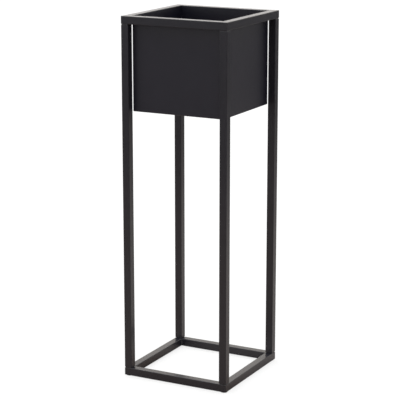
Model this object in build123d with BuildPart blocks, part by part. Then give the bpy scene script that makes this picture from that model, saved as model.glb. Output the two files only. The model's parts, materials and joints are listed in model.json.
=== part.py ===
"""Raised planter on legs: a slim black steel square-tube frame that carries a sheet-steel box.

Millimetres, +Z up. The origin is on the floor under the middle of the planter, -Y is the front.
The frame is two mitred square rings joined by four legs. Each leg turns on to a stud in the rim
and is drawn down to the base ring by a cap screw, and bears on both rings through its end plugs,
so a fine reveal shows at each end. The box hangs inside the rim by its hem.
"""
from build123d import *

import os

# ---------------------------------------------------------------- driving dimensions
overall_width = 220.0      # square in plan, over the outer faces of both rings
overall_height = 700.0     # floor to the top of the rim

tube_size = 15.0           # outside width of the square tube
tube_wall = 1.2
tube_edge_radius = 1.0     # outside radius of the tube's long edges
tube_bore_radius = 0.3     # radius of the same edges on the inside
dressed_corner_radius = 0.5  # upright outer edges of the rings, ground after welding
joint_reveal = 1.0         # gap between a leg's tube and a ring, bridged by the end plug

box_drop = 180.0           # top of the rim to the underside of the box floor
sheet = 0.8                # thickness of the box's sheet steel
hem_depth = 12.0           # height of the folded-over edge round the mouth of the box
bend_inside_radius = 0.8

plug_length = 20.0         # threaded block inside each end of a leg
thread_diameter = 6.0      # M6 studs and screws
screw_clearance_diameter = 6.6
screw_length = 20.0
screw_head_diameter = 10.0
screw_head_height = 6.0
screw_socket_width = 5.0   # across the flats of the hexagon
screw_socket_depth = 3.0
screw_head_chamfer = 0.5
stud_length = 25.0
stud_in_bush = 11.0        # length of stud that is turned into the rim's bush
stud_socket_width = 3.0
stud_socket_depth = 3.0
washer_diameter = 9.9
washer_bore_diameter = 6.1
washer_thickness = 1.6
washer_split = 0.8
bush_diameter = 10.0
bush_length = 11.2
access_hole_diameter = 11.0  # lets the screw and its key in from under the base ring

glide_head_diameter = 13.5
glide_head_height = 1.0
glide_stem_bore = 8.6
glide_stem_reach = 3.4     # stem length above the inner face of the tube's lower wall
glide_bead_diameter = 11.7
glide_bead_height = 1.2
glide_slit = 1.6

edge_break = 0.3           # deburred cut ends, screw threads and the like

# ---------------------------------------------------------------- derived dimensions
half_width = overall_width / 2
tube_centre = half_width - tube_size / 2     # centre line of every rail and leg
tube_bore = tube_size - 2 * tube_wall

base_bottom = glide_head_height
base_top = base_bottom + tube_size
rim_bottom = overall_height - tube_size
leg_bottom = base_top + joint_reveal
leg_length = rim_bottom - joint_reveal - leg_bottom

box_bottom = overall_height - box_drop
hem_face = half_width - tube_size            # the hem lies against the rim's inner faces
wall_face = hem_face - sheet                 # outer faces of the four walls
wall_inner_face = wall_face - sheet
crown_centre = overall_height - sheet        # centre height of the hem's rounded top
hem_bottom = overall_height - hem_depth
bend_outside_radius = bend_inside_radius + sheet

sides = {"front": 0, "right": 90, "back": 180, "left": 270}
corners = {
    "front_left": (-tube_centre, -tube_centre),
    "front_right": (tube_centre, -tube_centre),
    "back_right": (tube_centre, tube_centre),
    "back_left": (-tube_centre, tube_centre),
}

os.makedirs("parts", exist_ok=True)


def save(solid, name):
    """Label one finished sub-part and write its STEP file."""
    solid.label = name
    export_step(solid, f"parts/{name}.step")


def tube_section():
    """The square tube's section, drawn in the sketch that is open."""
    RectangleRounded(tube_size, tube_size, tube_edge_radius)
    RectangleRounded(tube_bore, tube_bore, tube_bore_radius, mode=Mode.SUBTRACT)


# ---------------------------------------------------------------- rings
def ring_rail(angle, centre_height, bores):
    """One side of a square ring: a tube mitred at both ends, with its share of the corner bores."""
    along = Vector(1, 0, 0).rotate(Axis.Z, angle)
    outward = Vector(0, -1, 0).rotate(Axis.Z, angle)
    middle = outward * tube_centre + Vector(0, 0, centre_height)
    with BuildPart() as rail:
        with BuildSketch(Plane(origin=middle, x_dir=outward, z_dir=along)):
            tube_section()
        extrude(amount=half_width, both=True)
        for mitre_normal in (outward - along, outward + along):
            split(bisect_by=Plane(origin=(0, 0, 0), z_dir=mitre_normal), keep=Keep.TOP)
        with BuildSketch(Plane.XY.offset(centre_height)):
            RectangleRounded(overall_width, overall_width, dressed_corner_radius)
        extrude(amount=tube_size, both=True, mode=Mode.INTERSECT)
        for diameter, bottom, top in bores:
            with BuildSketch(Plane.XY.offset(bottom)):
                with Locations(*corners.values()):
                    Circle(diameter / 2)
            extrude(amount=top - bottom, mode=Mode.SUBTRACT)
    return rail.part


rim_bores = [(bush_diameter, rim_bottom, rim_bottom + tube_wall)]
base_bores = [
    (access_hole_diameter, base_bottom, base_bottom + tube_wall),
    (screw_clearance_diameter, base_top - tube_wall, base_top),
]
for side, angle in sides.items():
    save(ring_rail(angle, rim_bottom + tube_size / 2, rim_bores), f"rim_rail_{side}")
    save(ring_rail(angle, base_bottom + tube_size / 2, base_bores), f"base_rail_{side}")


# ---------------------------------------------------------------- legs
def leg_tube(place):
    """An upright square tube, cut square and deburred at both ends."""
    with BuildPart() as leg:
        with BuildSketch(Plane.XY.offset(leg_bottom)):
            with Locations(place):
                tube_section()
        extrude(amount=leg_length)
        for end_face in leg.faces().filter_by(Axis.Z).sort_by(Axis.Z):
            chamfer(end_face.outer_wire().edges(), edge_break)
    return leg.part


def leg_plug(place, bottom):
    """A threaded square block in the tube's bore at one end of a leg, standing proud by the reveal."""
    with BuildPart() as plug:
        with BuildSketch(Plane.XY.offset(bottom)):
            with Locations(place):
                RectangleRounded(tube_bore, tube_bore, tube_bore_radius)
                Circle(thread_diameter / 2, mode=Mode.SUBTRACT)
        extrude(amount=plug_length)
    return plug.part


for corner, place in corners.items():
    save(leg_tube(place), f"leg_{corner}")
    save(leg_plug(place, rim_bottom - plug_length), f"leg_top_plug_{corner}")
    save(leg_plug(place, base_top), f"leg_base_plug_{corner}")


# ---------------------------------------------------------------- threaded hardware, one set per corner
with BuildPart() as rim_bushes:
    with BuildSketch(Plane.XY.offset(rim_bottom)):
        with Locations(*corners.values()):
            Circle(bush_diameter / 2)
            Circle(thread_diameter / 2, mode=Mode.SUBTRACT)
    extrude(amount=bush_length)
save(rim_bushes.part, "rim_bushes")

stud_top = rim_bottom + stud_in_bush
stud_bottom = stud_top - stud_length
with BuildPart() as leg_studs:
    with BuildSketch(Plane.XY.offset(stud_bottom)):
        with Locations(*corners.values()):
            Circle(thread_diameter / 2)
    extrude(amount=stud_length)
    chamfer(leg_studs.edges().filter_by(GeomType.CIRCLE), edge_break)
    with BuildSketch(Plane.XY.offset(stud_bottom)):
        with Locations(*corners.values()):
            RegularPolygon(stud_socket_width / 2, 6, major_radius=False)
    extrude(amount=stud_socket_depth, mode=Mode.SUBTRACT)
save(leg_studs.part, "leg_studs")

washer_top = base_top - tube_wall
washer_bottom = washer_top - washer_thickness
with BuildPart() as spring_washers:
    with BuildSketch(Plane.XY.offset(washer_bottom)):
        with Locations(*corners.values()):
            Circle(washer_diameter / 2)
            Circle(washer_bore_diameter / 2, mode=Mode.SUBTRACT)
            with Locations((washer_diameter / 2, 0)):
                Rectangle(washer_diameter, washer_split, mode=Mode.SUBTRACT)
    extrude(amount=washer_thickness)
save(spring_washers.part, "spring_washers")

head_bottom = washer_bottom - screw_head_height
with BuildPart() as base_screws:
    with BuildSketch(Plane.XY.offset(head_bottom)):
        with Locations(*corners.values()):
            Circle(screw_head_diameter / 2)
    extrude(amount=screw_head_height)
    head_rims = base_screws.edges().filter_by(GeomType.CIRCLE).group_by(Axis.Z)[0]
    chamfer(head_rims, screw_head_chamfer)
    with BuildSketch(Plane.XY.offset(washer_bottom)):
        with Locations(*corners.values()):
            Circle(thread_diameter / 2)
    extrude(amount=screw_length)
    shank_tips = base_screws.edges().filter_by(GeomType.CIRCLE).group_by(Axis.Z)[-1]
    chamfer(shank_tips, edge_break)
    with BuildSketch(Plane.XY.offset(head_bottom)):
        with Locations(*corners.values()):
            RegularPolygon(screw_socket_width / 2, 6, major_radius=False)
    extrude(amount=screw_socket_depth, mode=Mode.SUBTRACT)
save(base_screws.part, "base_screws")


# ---------------------------------------------------------------- floor glides
def floor_glide(place):
    """A push-in plastic glide: a flat foot, and a slit stem whose bead snaps over the tube wall."""
    stem_bottom = base_bottom
    bead_bottom = base_bottom + tube_wall
    stem_top = bead_bottom + glide_stem_reach
    with BuildPart() as glide:
        with BuildSketch(Plane.XY):
            with Locations(place):
                Circle(glide_head_diameter / 2)
        extrude(amount=glide_head_height)
        chamfer(glide.edges().group_by(Axis.Z)[0], edge_break)
        with BuildSketch(Plane.XY.offset(stem_bottom)):
            with Locations(place):
                Circle(access_hole_diameter / 2)
        extrude(amount=stem_top - stem_bottom)
        with BuildSketch(Plane.XY.offset(bead_bottom)):
            with Locations(place):
                Circle(glide_bead_diameter / 2)
        extrude(amount=glide_bead_height)
        with BuildSketch(Plane.XY.offset(stem_bottom)):
            with Locations(place):
                Circle(glide_stem_bore / 2)
                Rectangle(glide_head_diameter, glide_slit)
                Rectangle(glide_slit, glide_head_diameter)
        extrude(amount=stem_top - stem_bottom, mode=Mode.SUBTRACT)
    return glide.part


for corner, place in corners.items():
    save(floor_glide(place), f"glide_{corner}")


# ---------------------------------------------------------------- planter box
def wall_section(sign):
    """Upper part of a wall in section: its hem and the rounded crown, on the side given by sign."""
    with Locations((sign * (hem_face + wall_face) / 2, (hem_bottom + crown_centre) / 2)):
        Rectangle(sheet, crown_centre - hem_bottom)
    with Locations((sign * wall_face, crown_centre)):
        Circle(sheet)


# Front wall, floor and back wall are bent from one sheet.
with BuildPart() as box_cradle:
    with BuildSketch(Plane.YZ):
        with Locations((0, (box_bottom + crown_centre) / 2)):
            trough = Rectangle(2 * wall_face, crown_centre - box_bottom)
        fillet(trough.vertices().group_by(Axis.Y)[0], bend_outside_radius)
        with BuildSketch(Plane.YZ, mode=Mode.SUBTRACT):
            with Locations((0, (box_bottom + sheet + crown_centre) / 2)):
                hollow = Rectangle(2 * wall_inner_face, crown_centre - box_bottom - sheet)
            fillet(hollow.vertices().group_by(Axis.Y)[0], bend_inside_radius)
        for sign in (-1, 1):
            wall_section(sign)
    extrude(amount=wall_inner_face, both=True)
save(box_cradle.part, "box_cradle")

# Each side panel caps one end of the trough and is welded to it.
for side, sign in {"left": -1, "right": 1}.items():
    with BuildPart() as box_side:
        with BuildSketch(Plane.XZ):
            with Locations((sign * (wall_face + wall_inner_face) / 2, (box_bottom + crown_centre) / 2)):
                Rectangle(sheet, crown_centre - box_bottom)
            wall_section(sign)
        extrude(amount=wall_face, both=True)
        bottom_corners = box_side.edges().filter_by(Axis.X).group_by(Axis.Z)[0]
        fillet(bottom_corners, bend_outside_radius)
    save(box_side.part, f"box_side_{side}")
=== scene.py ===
import json
import math
import random

import bpy
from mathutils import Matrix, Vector


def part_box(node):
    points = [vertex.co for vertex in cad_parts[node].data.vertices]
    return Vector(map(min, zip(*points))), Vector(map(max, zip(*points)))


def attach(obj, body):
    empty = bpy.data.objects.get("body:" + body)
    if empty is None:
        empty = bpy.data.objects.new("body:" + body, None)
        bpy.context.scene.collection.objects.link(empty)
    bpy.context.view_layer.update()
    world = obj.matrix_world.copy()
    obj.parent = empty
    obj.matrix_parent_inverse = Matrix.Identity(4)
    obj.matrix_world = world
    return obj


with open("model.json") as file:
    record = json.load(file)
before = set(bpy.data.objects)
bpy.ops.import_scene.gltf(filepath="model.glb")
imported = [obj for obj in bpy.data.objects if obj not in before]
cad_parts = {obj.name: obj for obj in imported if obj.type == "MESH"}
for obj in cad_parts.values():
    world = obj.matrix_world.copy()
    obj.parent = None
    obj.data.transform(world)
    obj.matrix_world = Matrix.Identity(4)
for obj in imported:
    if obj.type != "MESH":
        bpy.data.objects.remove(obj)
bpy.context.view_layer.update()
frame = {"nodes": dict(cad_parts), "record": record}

# ---------------------------------------------------------------- sizes read from the frame
rail_low, rail_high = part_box("base_rail_front")
side_low, side_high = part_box("box_side_right")
RING_INNER = -rail_high.y      # half the clear opening of the rings
BOX_INNER = side_low.x         # half the clear width of the box
BOX_TOP = side_high.z

# ---------------------------------------------------------------- camera
CAMERA_AZIMUTH = 27.70      # degrees round from the front, towards the right side
CAMERA_TILT = 13.445        # degrees below the horizon
CAMERA_DISTANCE = 2.928     # metres from the planter's axis
CAMERA_HEIGHT = 1.0395
CAMERA_SIDESTEP = -0.0022   # metres along the picture's width
CAMERA_LENS = 140.56        # millimetres
CAMERA_SENSOR = 36          # millimetres across


def heading(degrees):
    """Level unit vector, counted round from the front towards the right side."""
    angle = math.radians(degrees)
    return Vector((math.sin(angle), -math.cos(angle), 0))


def add_camera():
    out = heading(CAMERA_AZIMUTH)
    across = heading(CAMERA_AZIMUTH + 90)
    data = bpy.data.cameras.new("camera")
    data.lens = CAMERA_LENS
    data.sensor_width = CAMERA_SENSOR
    camera = bpy.data.objects.new("camera", data)
    camera.location = out * CAMERA_DISTANCE + across * CAMERA_SIDESTEP
    camera.location.z = CAMERA_HEIGHT
    camera.rotation_euler = (math.radians(90 - CAMERA_TILT), 0, math.radians(CAMERA_AZIMUTH))
    bpy.context.scene.collection.objects.link(camera)
    bpy.context.scene.camera = camera


add_camera()


# ---------------------------------------------------------------- node trees
class Nodes:
    """Short calls for filling a material's or world's node tree."""

    def __init__(self, owner):
        owner.use_nodes = True
        self.tree = owner.node_tree

    def add(self, kind, **settings):
        node = self.tree.nodes.new(kind)
        for name, value in settings.items():
            setattr(node, name, value)
        return node

    def put(self, value, socket):
        """Join a socket to an input, or set the input to a plain value."""
        if isinstance(value, bpy.types.NodeSocket):
            self.tree.links.new(value, socket)
        else:
            socket.default_value = value

    def math(self, operation, *values):
        node = self.add("ShaderNodeMath", operation=operation)
        for value, socket in zip(values, node.inputs):
            self.put(value, socket)
        return node.outputs["Value"]

    def vector(self, operation, result, *values):
        node = self.add("ShaderNodeVectorMath", operation=operation)
        for value, socket in zip(values, node.inputs):
            self.put(value, socket)
        return node.outputs[result]

    def noise(self, place, size, detail=2.0):
        """Soft noise from 0 to 1 whose features are about size metres across."""
        node = self.add("ShaderNodeTexNoise")
        self.put(place, node.inputs["Vector"])
        node.inputs["Scale"].default_value = 1 / size
        node.inputs["Detail"].default_value = detail
        return node.outputs["Fac"]

    def span(self, value, low, high, to_low, to_high):
        """Map low..high on to to_low..to_high, held at the ends."""
        node = self.add("ShaderNodeMapRange")
        names = ("Value", "From Min", "From Max", "To Min", "To Max")
        for given, name in zip((value, low, high, to_low, to_high), names):
            self.put(given, node.inputs[name])
        return node.outputs["Result"]

    def mix(self, factor, first, second):
        """Blend two colours, each a socket or three numbers."""
        node = self.add("ShaderNodeMix", data_type="RGBA")
        self.put(factor, node.inputs["Factor"])
        colour_inputs = [socket for socket in node.inputs if socket.type == "RGBA"]
        for colour, socket in zip((first, second), colour_inputs):
            self.put((*colour, 1) if isinstance(colour, tuple) else colour, socket)
        return next(socket for socket in node.outputs if socket.type == "RGBA")

    def bump(self, height, depth, under=None):
        """Raise the surface by up to depth metres, on top of the bump under it."""
        node = self.add("ShaderNodeBump")
        node.inputs["Distance"].default_value = depth
        self.put(height, node.inputs["Height"])
        if under is not None:
            self.put(under, node.inputs["Normal"])
        return node.outputs["Normal"]


def new_material(name):
    """A material, its nodes, its surface shader and the object's own coordinates in metres."""
    material = bpy.data.materials.new(name)
    nodes = Nodes(material)
    place = nodes.add("ShaderNodeTexCoord").outputs["Object"]
    return material, nodes, nodes.tree.nodes["Principled BSDF"], place


# ---------------------------------------------------------------- materials
CLOUD_SPAN, PATCH_SPAN = (0.35, 0.65), (0.3, 0.7)      # where most of a noise's values lie
COAT_CLOUD, COAT_PATCH = 0.060, 0.009      # sizes of the slow drifts in the coat's tone and gloss
COAT_PEEL, COAT_GRAIN = 0.0026, 0.0008     # sizes of its orange peel and its grain
COAT_PEEL_DEPTH, COAT_GRAIN_DEPTH = 0.000034, 0.000020
COAT_GLOSS_SWING = 0.02
COAT_IOR = 1.5
SEAM_WANDER, SEAM_WANDER_LENGTH = 0.0008, 0.006
SEAM_CORE, SEAM_EDGE = 0.0002, 0.0009      # where a mitre's seam starts and stops fading, from |x| = |y|
SEAM_DEPTH = 0.00012
SEAM_DULLNESS = 0.08
SEAM_MARGIN = 0.002                        # keeps the seam to the ring's corners


def mitre_seam(nodes, place):
    """Mask that is 1 along the ground weld across each ring corner, which wanders a little."""
    parts = nodes.add("ShaderNodeSeparateXYZ")
    nodes.put(nodes.vector("ABSOLUTE", "Vector", place), parts.inputs["Vector"])
    across, along = parts.outputs["X"], parts.outputs["Y"]
    offset = nodes.math("ABSOLUTE", nodes.math("SUBTRACT", across, along))
    corner = nodes.math("GREATER_THAN", nodes.math("MINIMUM", across, along), RING_INNER - SEAM_MARGIN)
    noise = nodes.noise(place, SEAM_WANDER_LENGTH)
    wander = nodes.math("MULTIPLY_ADD", noise, SEAM_WANDER, -SEAM_WANDER / 2)
    line = nodes.span(nodes.math("ADD", offset, wander), SEAM_CORE, SEAM_EDGE, 1, 0)
    return nodes.math("MULTIPLY", corner, line)


def powder_coat(name, deep, pale, roughness, mitres=False):
    """Near-black powder coat with orange peel and fine grain, and if asked the rings' mitre seams."""
    material, nodes, surface, place = new_material(name)
    cloud = nodes.noise(place, COAT_CLOUD, detail=3)
    patch = nodes.noise(place, COAT_PATCH, detail=3)
    peel = nodes.noise(place, COAT_PEEL, detail=1)
    grain = nodes.noise(place, COAT_GRAIN, detail=1)
    colour = nodes.mix(nodes.span(cloud, *CLOUD_SPAN, 0, 1), deep, pale)
    gloss = nodes.span(patch, *PATCH_SPAN, roughness - COAT_GLOSS_SWING, roughness + COAT_GLOSS_SWING)
    normal = nodes.bump(peel, COAT_PEEL_DEPTH, nodes.bump(grain, COAT_GRAIN_DEPTH))
    if mitres:
        seam = mitre_seam(nodes, place)
        normal = nodes.bump(nodes.math("SUBTRACT", 1.0, seam), SEAM_DEPTH, normal)
        gloss = nodes.math("ADD", gloss, nodes.math("MULTIPLY", seam, SEAM_DULLNESS))
    nodes.put(colour, surface.inputs["Base Color"])
    nodes.put(gloss, surface.inputs["Roughness"])
    nodes.put(normal, surface.inputs["Normal"])
    surface.inputs["IOR"].default_value = COAT_IOR
    return material


ZINC_DEEP, ZINC_PALE = (0.52, 0.54, 0.57), (0.68, 0.69, 0.70)
ZINC_ROUGHNESS = (0.24, 0.36)
ZINC_CLOUD = 0.003
ZINC_MARK_LENGTH, ZINC_MARK_RATIO, ZINC_MARK_DEPTH = 0.002, 12, 0.000015


def zinc(name):
    """Bright zinc plate: bluish, slightly clouded, with fine marks round each turned piece."""
    material, nodes, surface, place = new_material(name)
    cloud = nodes.noise(place, ZINC_CLOUD, detail=3)
    squeezed = nodes.vector("MULTIPLY", "Vector", place, (1, 1, ZINC_MARK_RATIO))
    marks = nodes.noise(squeezed, ZINC_MARK_LENGTH, detail=2)
    nodes.put(nodes.mix(cloud, ZINC_DEEP, ZINC_PALE), surface.inputs["Base Color"])
    nodes.put(nodes.span(cloud, *PATCH_SPAN, *ZINC_ROUGHNESS), surface.inputs["Roughness"])
    nodes.put(nodes.bump(marks, ZINC_MARK_DEPTH), surface.inputs["Normal"])
    surface.inputs["Metallic"].default_value = 1.0
    return material


PLASTIC_DEEP, PLASTIC_PALE = (0.012, 0.012, 0.012), (0.018, 0.018, 0.018)
PLASTIC_ROUGHNESS = (0.48, 0.58)
PLASTIC_CLOUD, PLASTIC_GRAIN, PLASTIC_GRAIN_DEPTH = 0.004, 0.0004, 0.00002
PLASTIC_IOR = 1.51


def moulded_plastic(name):
    """Matt black polyethylene with a fine spark-eroded grain."""
    material, nodes, surface, place = new_material(name)
    cloud = nodes.noise(place, PLASTIC_CLOUD, detail=2)
    grain = nodes.noise(place, PLASTIC_GRAIN, detail=2)
    nodes.put(nodes.mix(cloud, PLASTIC_DEEP, PLASTIC_PALE), surface.inputs["Base Color"])
    nodes.put(nodes.span(cloud, *PATCH_SPAN, *PLASTIC_ROUGHNESS), surface.inputs["Roughness"])
    nodes.put(nodes.bump(grain, PLASTIC_GRAIN_DEPTH), surface.inputs["Normal"])
    surface.inputs["IOR"].default_value = PLASTIC_IOR
    return material


FRAME_DEEP, FRAME_PALE = (0.0124, 0.0122, 0.0171), (0.0144, 0.0142, 0.0195)
BOX_DEEP, BOX_PALE = (0.0050, 0.0050, 0.0124), (0.0066, 0.0065, 0.0142)
FRAME_ROUGHNESS = 0.30
BOX_ROUGHNESS = 0.38
slot_materials = {
    "frame_coat": powder_coat("frame_coat", FRAME_DEEP, FRAME_PALE, FRAME_ROUGHNESS),
    "box_coat": powder_coat("box_coat", BOX_DEEP, BOX_PALE, BOX_ROUGHNESS),
    "zinc_steel": zinc("zinc_steel"),
    "glide_plastic": moulded_plastic("glide_plastic"),
}
ring_coat = powder_coat("ring_coat", FRAME_DEEP, FRAME_PALE, FRAME_ROUGHNESS, mitres=True)


def coat_nodes():
    """Give every CAD node the material of its slot. The rings' rails also show their mitres."""
    for part in frame["record"]["subparts"]:
        material = slot_materials[part["material_slot"]]
        if "_rail_" in part["node"]:
            material = ring_coat
        slots = frame["nodes"][part["node"]].data.materials
        for index in range(len(slots)):
            slots[index] = material


coat_nodes()

# ---------------------------------------------------------------- welds
CORNER_SIGNS = {"front_left": (-1, -1), "front_right": (1, -1), "back_right": (1, 1), "back_left": (-1, 1)}
BEAD_FACETS = 8            # across a bead
RIPPLE_RINGS = 6           # along each ripple
BEAD_FULLNESS = 1.2        # 1 bulges like a quarter circle, 2 is flat
BEAD_SINK = 0.00015        # how far a bead's back runs into the faces it joins
BEAD_UNEVENNESS = 0.08     # how much one ripple may differ from the bead's size
RIPPLE_TROUGH, RIPPLE_RISE = 0.88, 0.14
BEAD_END_SIZE = 0.25       # size of its drawn-in ends
BEAD_END_BLUNTNESS = 12    # higher keeps the full size closer to the ends
rng = random.Random(7)


def bead_sizes(leg, ripples):
    """The bead's size at each ring of points: rippled, uneven and drawn in at both ends."""
    rings = ripples * RIPPLE_RINGS
    swell = [rng.uniform(1 - BEAD_UNEVENNESS, 1 + BEAD_UNEVENNESS) for _ in range(ripples + 1)]
    sizes = []
    for ring in range(rings + 1):
        ripple, within = divmod(ring, RIPPLE_RINGS)
        crest = RIPPLE_TROUGH + RIPPLE_RISE * math.sin(math.pi * within / RIPPLE_RINGS)
        from_middle = abs(2 * ring / rings - 1)
        roundness = math.sqrt(1 - from_middle ** BEAD_END_BLUNTNESS)
        drawn_in = BEAD_END_SIZE + (1 - BEAD_END_SIZE) * roundness
        sizes.append(leg * swell[ripple] * crest * drawn_in)
    return sizes


def weld_bead(name, signs, reach, bottom, top, leg, pitch, slot_name):
    """An upright fillet bead in an inner corner whose two faces are reach metres from the axis."""
    sizes = bead_sizes(leg, round((top - bottom) / pitch))
    back = reach + BEAD_SINK
    vertices = []
    for ring, size in enumerate(sizes):
        height = bottom + (top - bottom) * ring / (len(sizes) - 1)
        section = [(back, back)]
        for facet in range(BEAD_FACETS + 1):
            turn = math.pi / 2 * facet / BEAD_FACETS
            in_from_side = size * math.sin(turn) ** BEAD_FULLNESS
            in_from_front = size * math.cos(turn) ** BEAD_FULLNESS
            section.append((back - in_from_side, back - in_from_front))
        vertices += [(signs[0] * x, signs[1] * y, height) for x, y in section]
    count = BEAD_FACETS + 2
    faces = [tuple(range(count))[::-1], tuple(range(len(vertices) - count, len(vertices)))]
    for start in range(0, len(vertices) - count, count):
        for point in range(count):
            beside = (point + 1) % count
            faces.append((start + point, start + beside, start + count + beside, start + count + point))
    if signs[0] * signs[1] > 0:
        faces = [face[::-1] for face in faces]
    data = bpy.data.meshes.new(name)
    data.from_pydata(vertices, [], faces)
    data.shade_smooth()
    data.materials.append(slot_materials[slot_name])
    bead = bpy.data.objects.new(name, data)
    bpy.context.scene.collection.objects.link(bead)
    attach(bead, "root")


RING_BEAD_LEG, RING_BEAD_PITCH, RING_BEAD_MARGIN = 0.0022, 0.0011, 0.0012
BOX_TACK_LEG, BOX_TACK_PITCH, BOX_TACK_LENGTH = 0.0018, 0.0010, 0.009
BOX_TACK_DROPS = (0.048, 0.104, 0.160)     # middles of the tacks below the rim's top


def add_welds():
    """A bead up each inner corner of the base ring, and short tacks up each corner inside the box."""
    for corner, signs in CORNER_SIGNS.items():
        weld_bead(f"base_weld_{corner}", signs, RING_INNER, rail_low.z + RING_BEAD_MARGIN,
                  rail_high.z - RING_BEAD_MARGIN, RING_BEAD_LEG, RING_BEAD_PITCH, "frame_coat")
        for number, drop in enumerate(BOX_TACK_DROPS, 1):
            middle = BOX_TOP - drop
            weld_bead(f"box_tack_{corner}_{number}", signs, BOX_INNER, middle - BOX_TACK_LENGTH / 2,
                      middle + BOX_TACK_LENGTH / 2, BOX_TACK_LEG, BOX_TACK_PITCH, "box_coat")


add_welds()

# ---------------------------------------------------------------- studio
FLOOR_REACH = 14.0
# Floor colours seen only in the coat: painted light close to the planter, brighter behind it, and painted
# shade further out.
FLOOR_PAINTED_LIGHT_NEAR_FRONT, FLOOR_PAINTED_LIGHT_NEAR_BACK = (0.314, 0.257, 0.217), (0.501, 0.464, 0.442)
FLOOR_PAINTED_SHADE_FAR_FRONT, FLOOR_PAINTED_SHADE_FAR_BACK = (0.054, 0.058, 0.078), (0.061, 0.060, 0.064)
FLOOR_PAINTED_LIGHT_HEADING = 165
FLOOR_PAINTED_LIGHT_FADE = (0.8, 3.2)        # metres out, from the painted light close to the planter to the painted shade further out
FLOOR_PAINTED_LIGHT_FACING = (-0.5, 1)       # cosines to that heading, from the dimmer painted light in front to the brighter painted light behind
FLOOR_SEEN = (0.25, 0.25, 0.25)
FLOOR_SEEN_GLOW = 0.70
SKY_STRENGTH = 2.8
SKY_STEPS = (                  # sine of the height above the horizon, colour
    (0.00, (0.390, 0.385, 0.382)),
    (0.08, (0.600, 0.588, 0.578)),
    (0.14, (0.640, 0.626, 0.614)),
    (0.22, (0.390, 0.372, 0.357)),
    (0.33, (0.280, 0.244, 0.195)),
    (0.50, (0.372, 0.366, 0.362)),
    (0.75, (0.520, 0.523, 0.532)),
    (1.00, (1.000, 1.000, 1.000)),
)
SKY_BRIGHTER_HEADING = 248
SKY_SIDE_SWING = 0.25          # how much brighter it is there, and darker opposite


def add_floor():
    """Plain floor. The camera sees it white; in the coat it shows painted light, brownish close to the
    planter and brighter behind it, and painted shade, dark, further away.
    """
    reach = FLOOR_REACH
    data = bpy.data.meshes.new("studio_floor")
    corners = [(-reach, -reach, 0), (reach, -reach, 0), (reach, reach, 0), (-reach, reach, 0)]
    data.from_pydata(corners, [], [(0, 1, 2, 3)])
    floor = bpy.data.objects.new("studio_floor", data)
    bpy.context.scene.collection.objects.link(floor)
    material, nodes, surface, place = new_material("studio_floor")
    # The coat sees painted light in the floor's colour: brighter towards one heading, fading to painted
    # shade with distance.
    toward = nodes.vector("NORMALIZE", "Vector", place)
    facing = nodes.vector("DOT_PRODUCT", "Value", toward, tuple(heading(FLOOR_PAINTED_LIGHT_HEADING)))
    away = nodes.vector("LENGTH", "Value", place)
    turned = nodes.span(facing, *FLOOR_PAINTED_LIGHT_FACING, 0, 1)
    painted_light_near = nodes.mix(turned, FLOOR_PAINTED_LIGHT_NEAR_FRONT, FLOOR_PAINTED_LIGHT_NEAR_BACK)
    painted_shade_far = nodes.mix(turned, FLOOR_PAINTED_SHADE_FAR_FRONT, FLOOR_PAINTED_SHADE_FAR_BACK)
    fade = nodes.span(away, *FLOOR_PAINTED_LIGHT_FADE, 0, 1)
    painted_light_reflected = nodes.mix(fade, painted_light_near, painted_shade_far)
    seen = nodes.add("ShaderNodeLightPath").outputs["Is Camera Ray"]
    # Only the camera sees the plain pale floor and its even glow; other rays see the painted light and
    # shade.
    nodes.put(nodes.mix(seen, painted_light_reflected, FLOOR_SEEN), surface.inputs["Base Color"])
    nodes.put((1, 1, 1, 1), surface.inputs["Emission Color"])
    nodes.put(nodes.math("MULTIPLY", seen, FLOOR_SEEN_GLOW), surface.inputs["Emission Strength"])
    surface.inputs["Roughness"].default_value = 1.0
    surface.inputs["Specular IOR Level"].default_value = 0.0
    data.materials.append(material)


def add_sky():
    """Soft light from all round, strongest overhead, browner lower down, brighter from one side."""
    world = bpy.data.worlds.new("studio")
    bpy.context.scene.world = world
    nodes = Nodes(world)
    direction = nodes.add("ShaderNodeTexCoord").outputs["Generated"]
    parts = nodes.add("ShaderNodeSeparateXYZ")
    nodes.put(direction, parts.inputs["Vector"])
    ramp = nodes.add("ShaderNodeValToRGB")
    steps = ramp.color_ramp.elements
    while len(steps) < len(SKY_STEPS):
        steps.new(0.5)
    for step, (position, colour) in zip(steps, SKY_STEPS):
        step.position = position
        step.color = (*colour, 1)
    nodes.put(parts.outputs["Z"], ramp.inputs["Fac"])
    side = nodes.vector("DOT_PRODUCT", "Value", direction, tuple(heading(SKY_BRIGHTER_HEADING)))
    strength = nodes.math("MULTIPLY_ADD", side, SKY_SIDE_SWING * SKY_STRENGTH, SKY_STRENGTH)
    background = nodes.tree.nodes["Background"]
    nodes.put(ramp.outputs["Color"], background.inputs["Color"])
    nodes.put(strength, background.inputs["Strength"])


add_floor()
add_sky()
bpy.context.scene.view_settings.view_transform = "Standard"
